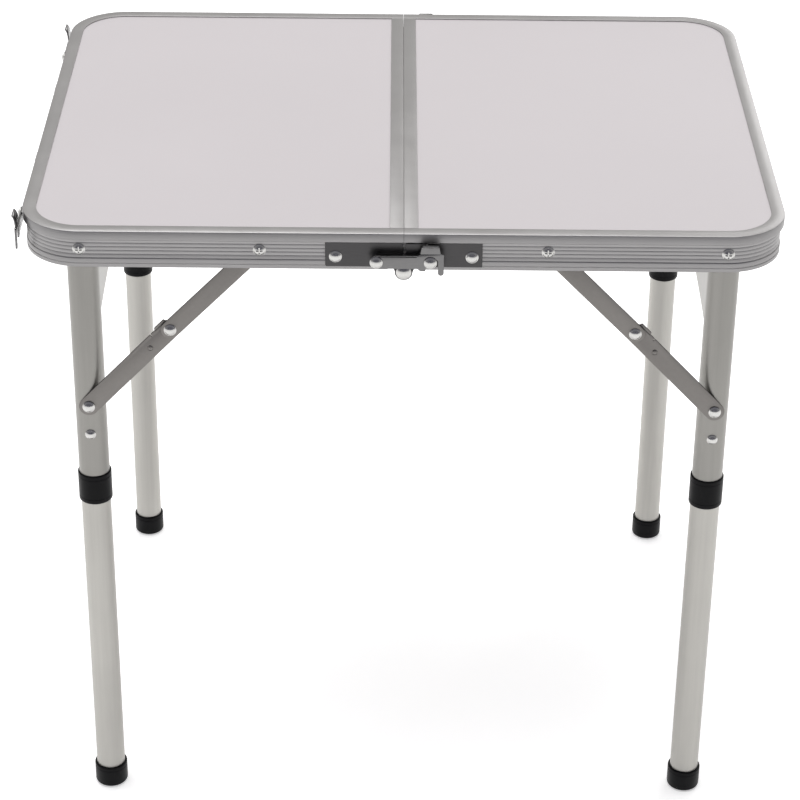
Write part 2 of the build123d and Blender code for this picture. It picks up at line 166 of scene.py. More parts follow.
def brushed_metal(name, color, roughness, grain, scale, contrast=0.08):
    """Metal with fine lines: grain is how the pattern is squeezed along X, Y and Z."""
    metal = Recipe(name)
    lines = metal.noise(scale, 6.0, 0.6, metal.stretched(grain))
    cloud = metal.noise(9.0, 3.0)
    tone = metal.ramp(lines, 0.3, 0.7, (shaded(color, 1 - contrast), shaded(color, 1 + contrast)))
    patch = metal.ramp(cloud, 0.35, 0.65, ((0.94, 0.94, 0.94), (1.0, 1.0, 1.0)))
    mixed = metal.node("ShaderNodeMix", {6: tone, 7: patch, 0: 1.0}, data_type="RGBA",
                       blend_type="MULTIPLY")
    metal.link(mixed.outputs[2], "Base Color")
    metal.link(metal.spread(lines, roughness - 0.06, roughness + 0.08), "Roughness")
    metal.link(metal.bump(lines, 0.12, 0.0003), "Normal")
    metal.shader.inputs["Metallic"].default_value = 1.0
    return metal.material


def rim_aluminium(look):
    """Satin anodised extrusion with fine drawing lines."""
    return brushed_metal("rim_aluminium", look.rim_color, 0.42, (1.0, 1.0, 60.0), 24.0, 0.05)


def leg_aluminium(look):
    """Satin tube with soft streaks along its length."""
    return brushed_metal("leg_aluminium", look.leg_color, 0.4, (14.0, 14.0, 0.4), 12.0, 0.06)


def upper_aluminium_painted_shade(look):
    """The leg tubes and the stretcher plates, duller than the extensions below them; their darker
    colour is partly painted shade of the table top above.
    """
    # Leg colour darkened to 0.64: partly painted shade of the table top over the upper tubes.
    color = shaded(look.leg_color, 0.64)
    return brushed_metal("upper_aluminium_painted_shade", color, 0.36, (14.0, 14.0, 0.4), 12.0, 0.06)


def latch_steel(look):
    """Polished pressed steel of the swing latches."""
    return brushed_metal("latch_steel", look.latch_color, 0.2, (4.0, 4.0, 30.0), 40.0, 0.05)


def sheet_aluminium(look):
    """Rolled sheet of the braces."""
    return brushed_metal("sheet_aluminium", look.sheet_color, 0.45, (6.0, 6.0, 6.0), 40.0, 0.05)


def plate_steel(look):
    """Dark brushed steel of the hinge plates."""
    return brushed_metal("plate_steel", look.plate_color, 0.38, (3.0, 3.0, 60.0), 30.0, 0.07)


def bright_steel(look):
    """Bright plated rivets, screws, pins and handle brackets."""
    return brushed_metal("bright_steel", look.bright_color, 0.2, (8.0, 8.0, 8.0), 60.0, 0.03)


def white_laminate(look):
    """Matt white laminate with a very fine pebbled face."""
    board = Recipe("white_laminate")
    color = tuple(look.laminate_color)
    cloud = board.noise(5.0, 3.0)
    fine = board.noise(900.0, 3.0, 0.7)
    tone = board.ramp(cloud, 0.3, 0.7, (shaded(color, 0.985), shaded(color, 1.01)))
    grain = board.ramp(fine, 0.3, 0.7, ((0.975, 0.972, 0.975), (1.0, 1.0, 1.0)))
    mixed = board.node("ShaderNodeMix", {6: tone, 7: grain, 0: 1.0}, data_type="RGBA",
                       blend_type="MULTIPLY")
    board.link(mixed.outputs[2], "Base Color")
    board.link(board.spread(fine, 0.5, 0.62), "Roughness")
    board.link(board.bump(fine, 0.12, 0.0002), "Normal")
    return board.material


def black_plastic(look):
    """Moulded black plastic of the collars, feet, spacers and handle."""
    moulded = Recipe("black_plastic")
    color = tuple(look.plastic_color)
    fine = moulded.noise(700.0, 2.0, 0.6)
    wear = moulded.noise(60.0, 5.0)
    tone = moulded.ramp(wear, 0.35, 0.75, (color, shaded(color, 1.5)))
    moulded.link(tone, "Base Color")
    moulded.link(moulded.spread(wear, 0.32, 0.46), "Roughness")
    moulded.link(moulded.bump(fine, 0.2, 0.0002), "Normal")
    moulded.shader.inputs["Specular IOR Level"].default_value = 0.1
    return moulded.material


FINISHES = {
    "rim_aluminium": rim_aluminium,
    "leg_aluminium": leg_aluminium,
    "upper_aluminium_painted_shade": upper_aluminium_painted_shade,
    "sheet_aluminium": sheet_aluminium,
    "latch_steel": latch_steel,
    "steel_plate": plate_steel,
    "bright_steel": bright_steel,
    "white_laminate": white_laminate,
    "black_plastic": black_plastic,
}
# The leg tubes take the darker upper finish, which holds painted shade of the table top.
SPECIAL_FINISHES = {"leg_tube": "upper_aluminium_painted_shade", "hook": "latch_steel"}
made_finishes = {}


def finish_of(slot):
    """The material of a slot or a special finish, made the first time it is asked for."""
    if slot not in made_finishes:
        made_finishes[slot] = FINISHES[slot](bpy.context.scene.table_look)
    return made_finishes[slot]


# ---------------------------------------------------------------- what a user may change
class TableLook(bpy.types.PropertyGroup):
    rim_color: FloatVectorProperty(
        name="Rim", description="Colour of the anodised rim", subtype="COLOR",
        default=(0.325, 0.318, 0.318), min=0, max=1)
    leg_color: FloatVectorProperty(
        name="Legs", description="Colour of the leg tubes", subtype="COLOR",
        default=(0.42, 0.41, 0.385), min=0, max=1)
    sheet_color: FloatVectorProperty(
        name="Braces", description="Colour of the braces", subtype="COLOR",
        default=(0.20, 0.19, 0.18), min=0, max=1)
    plate_color: FloatVectorProperty(
        name="Hinge plates", description="Colour of the hinge plates", subtype="COLOR",
        default=(0.075, 0.073, 0.074), min=0, max=1)
    bright_color: FloatVectorProperty(
        name="Rivets", description="Colour of rivets, screws and brackets", subtype="COLOR",
        default=(0.56, 0.555, 0.54), min=0, max=1)
    latch_color: FloatVectorProperty(
        name="Latches", description="Colour of the swing latches", subtype="COLOR",
        default=(0.17, 0.168, 0.168), min=0, max=1)
    laminate_color: FloatVectorProperty(
        name="Laminate", description="Colour of the table top", subtype="COLOR",
        default=(0.485, 0.457, 0.468), min=0, max=1)
    plastic_color: FloatVectorProperty(
        name="Plastic", description="Colour of collars, feet and handle", subtype="COLOR",
        default=(0.004, 0.004, 0.0045), min=0, max=1)
    front_light: FloatVectorProperty(
        name="Front light", description="Colour of the studio on the camera's side",
        subtype="COLOR", default=(0.15, 0.15, 0.18), min=0, max=1)
    rear_light: FloatVectorProperty(
        name="Rear light", description="Colour of the studio behind the table",
        subtype="COLOR", default=(0.85, 0.84, 0.82), min=0, max=1)
    overhead_power: FloatProperty(
        name="Overhead", description="Power of the overhead lamp in watts", default=62)
    softbox_power: FloatProperty(
        name="Softbox", description="Power of the softbox in watts", default=11)
    floor_glow: FloatProperty(
        name="Floor glow", description="Light that the floor gives of its own", default=0.45)
    floor_color: FloatVectorProperty(
        name="Floor", description="Colour of the studio floor", subtype="COLOR",
        default=(0.95, 0.95, 0.95), min=0, max=1)


class TableCamera(bpy.types.PropertyGroup):
    place: FloatVectorProperty(
        name="Place", description="Where the camera stands", subtype="TRANSLATION", unit="LENGTH",
        default=(-0.0115, -2.0454, 1.4643))
    tilt: FloatProperty(
        name="Tilt", description="How far the camera looks down", subtype="ANGLE",
        default=math.radians(30.27))
    turn: FloatProperty(
        name="Turn", description="How far the camera looks to the right", subtype="ANGLE",
        default=math.radians(0.31))
    roll: FloatProperty(
        name="Roll", description="How far the camera leans", subtype="ANGLE",
        default=math.radians(0.65))
    lens: FloatProperty(
        name="Lens", description="Focal length in millimetres on a 36 mm sensor",
        default=118.6)


class TableSizes(bpy.types.PropertyGroup):
    corner_radius: FloatProperty(
        name="Corner radius", description="Outer radius of the rim's corners",
        unit="LENGTH", default=0.048)
    tube_wall: FloatProperty(
        name="Tube wall", description="Wall of the leg tubes", unit="LENGTH", default=0.001)
    rivet_radius: FloatProperty(
        name="Rivet head", description="Radius of the rivet heads", unit="LENGTH",
        default=0.005)
    rivet_height: FloatProperty(
        name="Rivet height", description="Height of the rivet heads", unit="LENGTH",
        default=0.0026)


# ---------------------------------------------------------------- modelling
def start_clean():
    """Deselect everything, because an operator acts on all that is selected."""
    bpy.ops.object.select_all(action="DESELECT")


def draw_line(name, points, closed=True):
    """A chain of edges through the points, drawn by extruding one vertex along them."""
    start_clean()
    bpy.ops.mesh.primitive_plane_add(size=0.001, location=(0, 0, 0))
    piece = bpy.context.object
    piece.name = name
    bpy.ops.object.mode_set(mode="EDIT")
    bpy.ops.mesh.select_all(action="SELECT")
    bpy.ops.mesh.merge(type="CENTER")
    bpy.ops.transform.translate(value=points[0])
    for last, point in zip(points, points[1:]):
        step = Vector(point) - Vector(last)
        bpy.ops.mesh.extrude_vertices_move(TRANSFORM_OT_translate={"value": step})
    if closed:
        bpy.ops.mesh.select_all(action="SELECT")
        bpy.ops.mesh.edge_face_add()
    bpy.ops.object.mode_set(mode="OBJECT")
    return piece


def edit(piece):
    """Open a piece in edit mode with all of it selected."""
    start_clean()
    bpy.context.view_layer.objects.active = piece
    piece.select_set(True)
    bpy.ops.object.mode_set(mode="EDIT")
    bpy.ops.mesh.select_all(action="SELECT")


def close_edit():
    """Merge doubles, point every face outwards and leave edit mode."""
    bpy.ops.mesh.select_all(action="SELECT")
    bpy.ops.mesh.remove_doubles(threshold=0.000005)
    bpy.ops.mesh.normals_make_consistent(inside=False)
    bpy.ops.object.mode_set(mode="OBJECT")


def modify(piece, kind, **settings):
    """Add a modifier and apply it."""
    start_clean()
    bpy.context.view_layer.objects.active = piece
    piece.select_set(True)
    bpy.ops.object.modifier_add(type=kind)
    modifier = piece.modifiers[-1]
    for key, value in settings.items():
        setattr(modifier, key, value)
    bpy.ops.object.modifier_apply(modifier=modifier.name)


def soften(piece, width, segments=2):
    """Round the sharp edges of a piece."""
    modify(piece, "BEVEL", width=width, segments=segments, limit_method="ANGLE",
           angle_limit=SMOOTH_ANGLE, harden_normals=False)


def settle(piece):
    """Put the piece's place into its mesh and shade it smooth across soft corners."""
    start_clean()
    bpy.context.view_layer.objects.active = piece
    piece.select_set(True)
    bpy.ops.object.transform_apply(location=True, rotation=True, scale=True)
    bpy.ops.object.shade_smooth_by_angle(angle=SMOOTH_ANGLE)


def dress(piece, name, body, slot, *nodes):
    """Name a piece, give it its finish, hang it on the empty of the body it rides on and hide the
    frame's nodes that it stands for.
    """
    finish = next((SPECIAL_FINISHES[end] for end in SPECIAL_FINISHES if name.endswith(end)), slot)
    piece.name = name
    piece.data.name = name
    piece.data.materials.clear()
    piece.data.materials.append(finish_of(finish))
    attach(piece, body)
    if nodes:
        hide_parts(*nodes)


def copy_of(piece, scale):
    """A copy with its own mesh, mirrored by a negative scale."""
    twin = piece.copy()
    twin.data = piece.data.copy()
    bpy.context.collection.objects.link(twin)
    twin.scale = scale
    settle(twin)
    if scale[0] * scale[1] * scale[2] < 0:
        edit(twin)
        close_edit()
    return twin


def join(pieces):
    """Make one piece of several, named as the first."""
    start_clean()
    for piece in pieces:
        piece.select_set(True)
    bpy.context.view_layer.objects.active = pieces[0]
    bpy.ops.object.join()
    return pieces[0]


def turned(name, profile, steps):
    """A turned piece about Z: profile is a list of (radius, height) from axis to axis."""
    piece = draw_line(name, [(radius, 0, height) for radius, height in profile], closed=False)
    edit(piece)
    bpy.ops.mesh.spin(steps=steps, angle=2 * math.pi, center=(0, 0, 0), axis=(0, 0, 1))
    close_edit()
    return piece


def arc(centre, radius, start, end, steps):
    """Points (radius, height) on an arc, by angle in degrees from the flat."""
    points = []
    for step in range(steps + 1):
        angle = math.radians(start + (end - start) * step / steps)
        points.append((centre[0] + radius * math.cos(angle), centre[1] + radius * math.sin(angle)))
    return points


def pressed(name, outline, thickness, round_off=0.0, segments=6):
    """A flat plate in the XZ plane, from y = 0 towards -Y, with rounded corners if asked."""
    piece = draw_line(name, [(x, 0, z) for x, z in outline])
    edit(piece)
    if round_off:
        bpy.ops.mesh.bevel(offset=round_off, segments=segments, affect="VERTICES")
        bpy.ops.mesh.select_all(action="SELECT")
    bpy.ops.mesh.extrude_region_move(TRANSFORM_OT_translate={"value": (0, -thickness, 0)})
    close_edit()
    return piece


def cut(piece, cutter):
    """Take the cutter's shape out of a piece."""
    modify(piece, "BOOLEAN", object=cutter, operation="DIFFERENCE", solver="EXACT")
    start_clean()
    bpy.data.objects.remove(cutter, do_unlink=True)


def box_piece(name, low, high):
    """A block between two corners."""
    start_clean()
    middle = [(a + b) / 2 for a, b in zip(low, high)]
    bpy.ops.mesh.primitive_cube_add(size=1, location=middle)
    piece = bpy.context.object
    piece.name = name
    piece.scale = [b - a for a, b in zip(low, high)]
    settle(piece)
    return piece


# ---------------------------------------------------------------- heads
def lay_on(piece, face, x, depth, z):
    """A copy of a head that stands up along Z, laid on a face given by its (x, y) direction."""
    twin = piece.copy()
    twin.data = piece.data.copy()
    bpy.context.collection.objects.link(twin)
    out = Vector((*face, 0))
    across = Vector((x, 0, z)) if face[1] else Vector((0, x, z))
    twin.matrix_world = (Matrix.Translation(across + out * depth)
                         @ out.to_track_quat("Z", "Y").to_matrix().to_4x4())
    settle(twin)
    return twin


def fastener(name, shank, radius, height, steps=40):
    """A round head on z = 0 over a stepped shank: shank lists (radius, low, high) upwards."""
    profile = [(0, shank[0][1])]
    for size, low, high in shank:
        profile += [(size, low), (size, high)]
    sphere = (radius**2 + height**2) / (2 * height)
    half = math.degrees(math.asin(radius / sphere))
    cap = arc((0, height - sphere), sphere, 90 - half, 90, 8)
    cap[0] = (radius, 0.35 * MM)
    cap[-1] = (0, height)
    return turned(name, [*profile, (radius, 0), *cap], steps)


def cross_cut(head, radius, height):
    """Sink a cross recess into a round head that stands on z = 0."""
    for length, width in ((0.52, 0.11), (0.11, 0.52)):
        low = (-radius * length, -radius * width, height * 0.45)
        high = (radius * length, radius * width, height * 1.5)
        cut(head, box_piece("recess", low, high))


def hexagon_nut(low):
    """A hexagon nut whose lower face is at a height on Z."""
    start_clean()
    bpy.ops.mesh.primitive_cylinder_add(vertices=6, radius=NUT_RADIUS, depth=NUT_THICKNESS,
                                        location=(0, 0, low + NUT_THICKNESS / 2))
    nut = bpy.context.object
    nut.name = "nut"
    settle(nut)
    soften(nut, 0.3 * MM)
    return nut


# ---------------------------------------------------------------- places
def corners(node):
    """The lowest and highest corners of a node of the frame."""
    low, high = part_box(node)
    return Vector(low), Vector(high)


def centre(node):
    """The middle of a node's box."""
    low, high = corners(node)
    return (low + high) / 2


def discard(piece):
    """Remove a master piece once its copies are made."""
    bpy.data.objects.remove(piece, do_unlink=True)


def with_rear(piece):
    """Join a piece with its mirror copy on the rear face."""
    return join([piece, copy_of(piece, (1, -1, 1))])


def on_each_side(master, what, slot, body, *nodes):
    """Put a piece made on the right leaf on both sides of the table."""
    for side, x in SIDES.items():
        twin = copy_of(master, (x, 1, 1))
        names = [node.format(side=side) for node in nodes]
        dress(twin, f"{side}_{what}", body.format(side=side), slot, *names)
    discard(master)


def on_each_corner(master, what, slot, body, *nodes):
    """Put a piece made at the right front corner on all four corners."""
    for side, x in SIDES.items():
        for end, y in ENDS.items():
            twin = copy_of(master, (x, -y, 1))
            names = [node.format(side=side, end=end) for node in nodes]
            dress(twin, f"{side}_{end}_{what}", body.format(side=side, end=end), slot, *names)
    discard(master)


# ---------------------------------------------------------------- rims
def rim_section():
    """Points (inset, drop) round the rim's section, in millimetres, from the lip inwards."""
    grooves = []
    for drop in (11.0, 14.2, 17.4, 20.6):
        grooves += [(2.6, 0.3 - drop), (2.74, -drop), (2.6, -0.3 - drop)]
    lip = [(10.7, -1), (10.7, -0.15), (10.4, 0), (0.8, 0), (0.25, -0.25), (0, -0.8)]
    band = [(0, -7.4), (0.5, -8), (2.6, -8.4)]
    flange = [(2.6, -23.8), (2.1, -24.3), (2, -24.8), (2, -27.9), (2.4, -28.2), (2.4, -28.7),
              (2, -29), (2, -31.6), (2.4, -32), (3.5, -32), (3.5, -25.4), (5.5, -25.4)]
    ledge = [(5.5, -6.8), (1.5, -6.8), (1.5, -4.7), (9.5, -4.7), (9.5, -3.5), (1.5, -3.5),
             (1.5, -1)]
    return [*lip, *band, *grooves, *flange, *ledge]


def push(step):
    """Extrude what is selected by a step."""
    bpy.ops.mesh.extrude_region_move(TRANSFORM_OT_translate={"value": step})


def bar(name, section, start, end):
    """A straight bar along Y with a section of (x, z) points."""
    piece = draw_line(name, [(x, start, z) for x, z in section])
    edit(piece)
    push((0, end - start, 0))
    close_edit()
    return piece


def rectangle(low, high):
    """The four corners between two of them."""
    return [low, (high[0], low[1]), high, (low[0], high[1])]


def notch_cutter():
    """The space that the seam hinge needs under the rim, front and rear."""
    length = 12.5 * MM
    rise = 4 * MM
    past_seam, past_rim, depth = 20 * MM, 230 * MM, 10 * MM
    top = corners("right_frame")[0].z + rise
    low = (-past_seam, -past_rim, top - depth)
    high = (length, -LEG_FACE, top)
    return with_rear(box_piece("notch", low, high))


class TABLE_OT_rims(bpy.types.Operator):
    """Sweep the rim's section round each leaf and add the seam rail"""
    bl_idname = "table.rims"
    bl_label = "Rims"

    def execute(self, context):
        low, high = corners("right_frame")
        bend = context.scene.table_sizes.corner_radius
        bend_x = high.x - bend
        bend_y = high.y - bend
        seam = low.x - 0.2 * MM
        section = [(seam, low.y + inset * MM, high.z + drop * MM)
                   for inset, drop in rim_section()]
        rim = draw_line("rim", section)
        edit(rim)
        push((bend_x - seam, 0, 0))
        for y, step in ((-bend_y, (0, 2 * bend_y, 0)), (bend_y, (seam - bend_x, 0, 0))):
            bpy.ops.mesh.spin(steps=16, angle=-math.pi / 2, center=(bend_x, y, 0), axis=(0, 0, 1))
            push(step)
        close_edit()
        cut(rim, notch_cutter())

        top = high.z
        wall_end = low.x + 1.5 * MM
        wall = bar("seam_wall", rectangle((seam, low.z), (wall_end, top - RIM_LIP_THICKNESS)),
                   low.y + RIM_WALL, high.y - RIM_WALL)
        cut(wall, notch_cutter())
        lip = bar("seam_lip", rectangle((seam, top - RIM_LIP_THICKNESS),
                                        (low.x + RIM_LIP_WIDTH, top)),
                  low.y + RIM_LIP_WIDTH, high.y - RIM_LIP_WIDTH)
        soften(lip, 0.2 * MM)
        ledge = bar("seam_ledge", rectangle((wall_end, top - LEDGE_BOTTOM),
                                            (low.x + 9.2 * MM, top - LEDGE_TOP)),
                    low.y + 9.5 * MM, high.y - 9.5 * MM)
        rim = join([rim, wall, lip, ledge])
        settle(rim)
        on_each_side(rim, "rim", "rim_aluminium", "{side}_leaf", "{side}_frame")
        return {"FINISHED"}


# ---------------------------------------------------------------- legs
def ring(name, outer, inner, low, high, edge, steps=56):
    """A turned tube with softened ends."""
    profile = [(outer - edge, low), (outer, low + edge), (outer, high - edge),
               (outer - edge, high), (inner, high), (inner, low), (outer - edge, low)]
    return turned(name, profile, steps)


def stand_at(piece, node):
    """Move a piece made about Z to a node's centre line."""
    place = centre(node)
    piece.location = (place.x, place.y, 0)
    settle(piece)


class TABLE_OT_legs(bpy.types.Operator):
    """Turn the leg tubes, collars, extensions and feet"""
    bl_idname = "table.legs"
    bl_label = "Legs"

    def execute(self, context):
        low, high = corners("right_front_leg")
        radius = (high.x - low.x) / 2
        wall = context.scene.table_sizes.tube_wall
        leg = ring("leg", radius, radius - wall, low.z, high.z, 0.3 * MM)
        outline = [(-radius, low.z), *arc((0, high.z - radius), radius, 180, 0, 24),
                   (radius, low.z)]
        shape = pressed("leg_top", outline, 4 * radius)
        shape.location = (0, 2 * radius, 0)
        settle(shape)
        modify(leg, "BOOLEAN", object=shape, operation="INTERSECT", solver="EXACT")
        discard(shape)
        stand_at(leg, "right_front_leg")
        on_each_corner(leg, "leg_tube", "leg_aluminium", "{side}_legs", "{side}_{end}_leg")

        low, high = corners("right_front_leg_collar")
        outer = (high.x - low.x) / 2
        leg_end = low.z + 2 * MM
        groove = 4 * MM
        round_off = 0.8 * MM
        profile = [(radius, leg_end), (radius - wall, leg_end), (radius - wall, low.z),
                   *arc((outer - round_off, low.z + round_off), round_off, -90, 0, 4),
                   *arc((outer, low.z + groove), 0.25 * MM, -90, -270, 4),
                   *arc((outer, high.z - groove), 0.25 * MM, -90, -270, 4),
                   *arc((outer - round_off, high.z - round_off), round_off, 0, 90, 4),
                   (radius, high.z), (radius, leg_end)]
        collar = turned("collar", profile, 56)
        stand_at(collar, "right_front_leg_collar")
        on_each_corner(collar, "collar", "black_plastic", "{side}_legs",
                       "{side}_{end}_leg_collar")

        low, high = corners("right_front_leg_extension")
        outer = (high.x - low.x) / 2
        joint = corners("right_front_leg_collar")[0].z - PLAY
        spigot = radius - wall - 0.08 * MM
        spigot_bore = spigot - 1.9 * MM
        spigot_root = joint - 44 * MM
        lead_in = 1.2 * MM
        chamfer = 0.3 * MM
        shoulder = 0.4 * MM
        profile = [(outer - chamfer, low.z), (outer, low.z + chamfer), (outer, joint - shoulder),
                   (outer - shoulder, joint), (spigot, joint), (spigot, high.z - lead_in),
                   (spigot - lead_in, high.z), (spigot_bore, high.z),
                   (spigot_bore, spigot_root), (outer - wall, spigot_root),
                   (outer - wall, low.z), (outer - chamfer, low.z)]
        extension = turned("extension", profile, 56)
        stand_at(extension, "right_front_leg_extension")
        on_each_corner(extension, "extension_tube", "leg_aluminium", "{side}_{end}_extension",
                       "{side}_{end}_leg_extension")

        low, high = corners("right_front_foot")
        reach = (high.x - low.x) / 2
        sole = 3 * MM
        heel = 2.5 * MM
        profile = [(0, 0), (reach - 6 * MM, 0), (reach - 5 * MM, 0.6 * MM),
                   (reach - 4 * MM, 0), *arc((reach - heel, heel), heel, -90, 0, 6),
                   *arc((reach, high.z - 3.5 * MM), 0.3 * MM, -90, -270, 4),
                   *arc((reach - round_off, high.z - round_off), round_off, 0, 90, 4),
                   (outer, high.z), (outer, sole), (0, sole)]
        foot = turned("foot", profile, 56)
        stand_at(foot, "right_front_foot")
        on_each_corner(foot, "foot_cap", "black_plastic", "{side}_{end}_extension",
                       "{side}_{end}_foot")
        return {"FINISHED"}


# ---------------------------------------------------------------- braces
def link(name, start, end, width):
    """A flat link laid along +X from its first pin, and the run between its two pins."""
    run = Vector((end[0] - start[0], 0, end[1] - start[1]))
    half = width / 2
    outline = [*arc((0, 0), half, 90, 270, 14), *arc((run.length, 0), half, -90, 90, 14)]
    piece = pressed(name, outline, LINK_THICKNESS)
    soften(piece, 0.3 * MM)
    return piece, run


def lay_link(piece, run, start, depth):
    """Turn a link about its first pin and stand it on the front face at a depth."""
    angle = math.atan2(run.z, run.x)
    piece.matrix_world = (Matrix.Translation((start[0], -depth, start[1]))
                          @ Matrix.Rotation(-angle, 4, "Y"))
    settle(piece)


class TABLE_OT_braces(bpy.types.Operator):
    """Press the two links of each folding brace"""
    bl_idname = "table.braces"
    bl_label = "Braces"

    def execute(self, context):
        knee = centre("right_front_knee_rivet")
        low, high = corners("right_front_lower_brace")
        width = 16 * MM
        foot = (high.x - width / 2, low.z + width / 2)
        top = (knee.x, knee.z)
        lower, run = link("lower", top, foot, width)
        tab = pressed("stop_tab", [(-3 * MM, 7 * MM), (-2.2 * MM, 9.6 * MM), (9 * MM, 9.6 * MM),
                                   (10 * MM, 7 * MM)], LINK_THICKNESS, 0.6 * MM, 3)
        soften(tab, 0.25 * MM)
        notch = box_piece("notch", (14.5 * MM, -3 * MM, 6 * MM), (15.6 * MM, 1 * MM, 9 * MM))
        cut(lower, notch)
        dimple = fastener("dimple", [(1.6 * MM, -0.5 * MM, 0)], 2.3 * MM, 0.7 * MM, 24)
        dimple.matrix_world = (Matrix.Translation((24 * MM, -LINK_THICKNESS, 0))
                               @ Matrix.Rotation(math.pi / 2, 4, "X"))
        settle(dimple)
        rivet = fastener("knee_back", [(2 * MM, -0.5 * MM, 0)], 4 * MM, 1.6 * MM, 32)
        rivet.matrix_world = Matrix.Rotation(-math.pi / 2, 4, "X")
        settle(rivet)
        lower = join([lower, tab, dimple, rivet])
        lay_link(lower, run, top, LOWER_LINK_BACK)
        on_each_corner(lower, "lower_link", "sheet_aluminium", "{side}_{end}_lower_link",
                       "{side}_{end}_lower_brace")

        low, high = corners("right_front_upper_brace")
        width = 15 * MM
        rim_pin = (low.x + width / 2, high.z - width / 2)
        upper, run = link("upper", top, rim_pin, width)
        bend = fastener("bend", [(5 * MM, -0.4 * MM, 0)], 6.2 * MM, 0.5 * MM, 32)
        bend.matrix_world = (Matrix.Translation((run.length, -LINK_THICKNESS, 0))
                             @ Matrix.Rotation(math.pi / 2, 4, "X"))
        settle(bend)
        upper = join([upper, bend])
        lay_link(upper, run, top, UPPER_LINK_BACK)
        on_each_corner(upper, "upper_link", "sheet_aluminium", "{side}_{end}_upper_link",
                       "{side}_{end}_upper_brace")

        sizes = context.scene.table_sizes
        rivet = rivet_on((0, -1), knee.x, KNEE_HEAD_SEAT, knee.z, [(2.4 * MM, -0.4 * MM, 0)],
                         sizes.rivet_radius, sizes.rivet_height)
        on_each_corner(rivet, "knee_head", "bright_steel", "{side}_{end}_upper_link",
                       "{side}_{end}_knee_rivet")
        return {"FINISHED"}


# ---------------------------------------------------------------- screws and rivets
def rim_screw(x, z, end, collar=None):
    """A cross-head screw through the rim with its nut, front and rear, down to its end.

    A collar is its radius and the two layers between which it stands on the shank.
    """
    face = RIM_SCREW_SEAT
    size = SCREW_SHANK_RADIUS
    shank = [(size, end - face, 0)]
    if collar:
        wide, low, high = collar
        shank = [(size, end - face, low - face), (wide, low - face, high - face),
                 (size, high - face, 0)]
    screw = fastener("screw", shank, SCREW_HEAD_RADIUS, SCREW_HEAD_HEIGHT)
    cross_cut(screw, SCREW_HEAD_RADIUS, SCREW_HEAD_HEIGHT)
    screw = join([screw, hexagon_nut(end - face)])
    laid = lay_on(screw, (0, -1), x, face, z)
    discard(screw)
    return with_rear(laid)


def rivet_on(face, x, depth, z, shank, radius, height, steps=40):
    """A round head with its shank behind it, laid on a face."""
    head = fastener("rivet", shank, radius, height, steps)
    laid = lay_on(head, face, x, depth, z)
    discard(head)
    return laid


class TABLE_OT_fasteners(bpy.types.Operator):
    """Make the screws, nuts, spacers and rivets"""
    bl_idname = "table.fasteners"
    bl_label = "Screws and rivets"

    def execute(self, context):
        sizes = context.scene.table_sizes
        head, rise = sizes.rivet_radius, sizes.rivet_height
        leg = centre("right_front_leg")
        pivot_z = centre("right_leg_pivot_screws").z
        screws = rim_screw(leg.x, pivot_z, LEG_SCREW_END)
        on_each_side(screws, "leg_screws", "bright_steel", "{side}_leaf",
                     "{side}_leg_pivot_screws")

        brace = centre("right_brace_pivot_screws")
        screws = rim_screw(brace.x, brace.z, BRACE_SCREW_END, (5 * MM, COLLAR_START, RIM_INSIDE))
        on_each_side(screws, "brace_screws", "bright_steel", "{side}_leaf",
                     "{side}_brace_pivot_screws")

        spacer = ring("spacer", 5.5 * MM, SCREW_SHANK_RADIUS, LEG_FACE + PLAY, SPACER_END,
                      0.3 * MM, 32)
        laid = lay_on(spacer, (0, -1), leg.x, 0, pivot_z)
        discard(spacer)
        on_each_side(with_rear(laid), "spacers", "black_plastic", "{side}_leaf",
                     "{side}_leg_spacers")

        low, high = corners("right_leg_rivets")
        foot_z = high.z - 5 * MM
        stop_z = low.z + 4.4 * MM
        foot = rivet_on((0, -1), leg.x, UPPER_LINK_BACK, foot_z,
                        [(RIVET_SHANK_RADIUS, -4.1 * MM, 0)], head, rise)
        stop = rivet_on((0, -1), leg.x, LEG_FACE, stop_z,
                        [(RIVET_SHANK_RADIUS, -2 * MM, 0)], head - 0.6 * MM, rise)
        on_each_side(with_rear(join([foot, stop])), "leg_rivet_heads", "bright_steel",
                     "{side}_legs", "{side}_leg_rivets")

        plate = centre("right_hinge_plate_rivets")
        rivet = rivet_on((0, -1), plate.x, PLATE_FRONT, plate.z,
                         [(2.4 * MM, -0.5 * MM, 0)], head, rise)
        on_each_side(with_rear(rivet), "plate_rivet_heads", "bright_steel", "{side}_leaf",
                     "{side}_hinge_plate_rivets")

        pin = centre("hinge_rivets")
        shank = [(4.5 * MM, -4.9 * MM, -3.4 * MM), (3 * MM, -3.4 * MM, 0)]
        rivet = rivet_on((0, -1), pin.x, HINGE_HEAD_SEAT, pin.z, shank, 6 * MM, rise)
        dress(with_rear(rivet), "hinge_rivet_heads", "left_leaf", "bright_steel", "hinge_rivets")

        size = RIVET_SHANK_RADIUS
        posts = {"left": [(4 * MM, -8.3 * MM, -2 * MM), (size, -2 * MM, 0)],
                 "right": [(size, -8.3 * MM, 0)]}
        for side, shank in posts.items():
            place = centre(f"{side}_latch_posts")
            post = rivet_on((0, -1), place.x, LATCH_HEAD_SEAT, place.z, shank, head, rise)
            dress(with_rear(post), f"{side}_latch_pins", f"{side}_leaf", "bright_steel",
                  f"{side}_latch_posts")

        low, high = corners("end_latch_posts")
        y = high.y - head
        shank = [(4 * MM, -8.7 * MM, -2 * MM), (size, -2 * MM, 0)]
        z = (low.z + high.z) / 2
        post = rivet_on((-1, 0), -y, END_LATCH_HEAD_SEAT, z, shank, head, rise)
        dress(with_rear(post), "end_latch_pins", "left_leaf", "bright_steel", "end_latch_posts")
        keeper = rivet_on((1, 0), -y, KEEPER_SEAT, z, [(size, -1.2 * MM, 0)], head, rise)
        dress(with_rear(keeper), "end_keeper_pins", "right_leaf", "bright_steel",
              "end_latch_keepers")
        return {"FINISHED"}


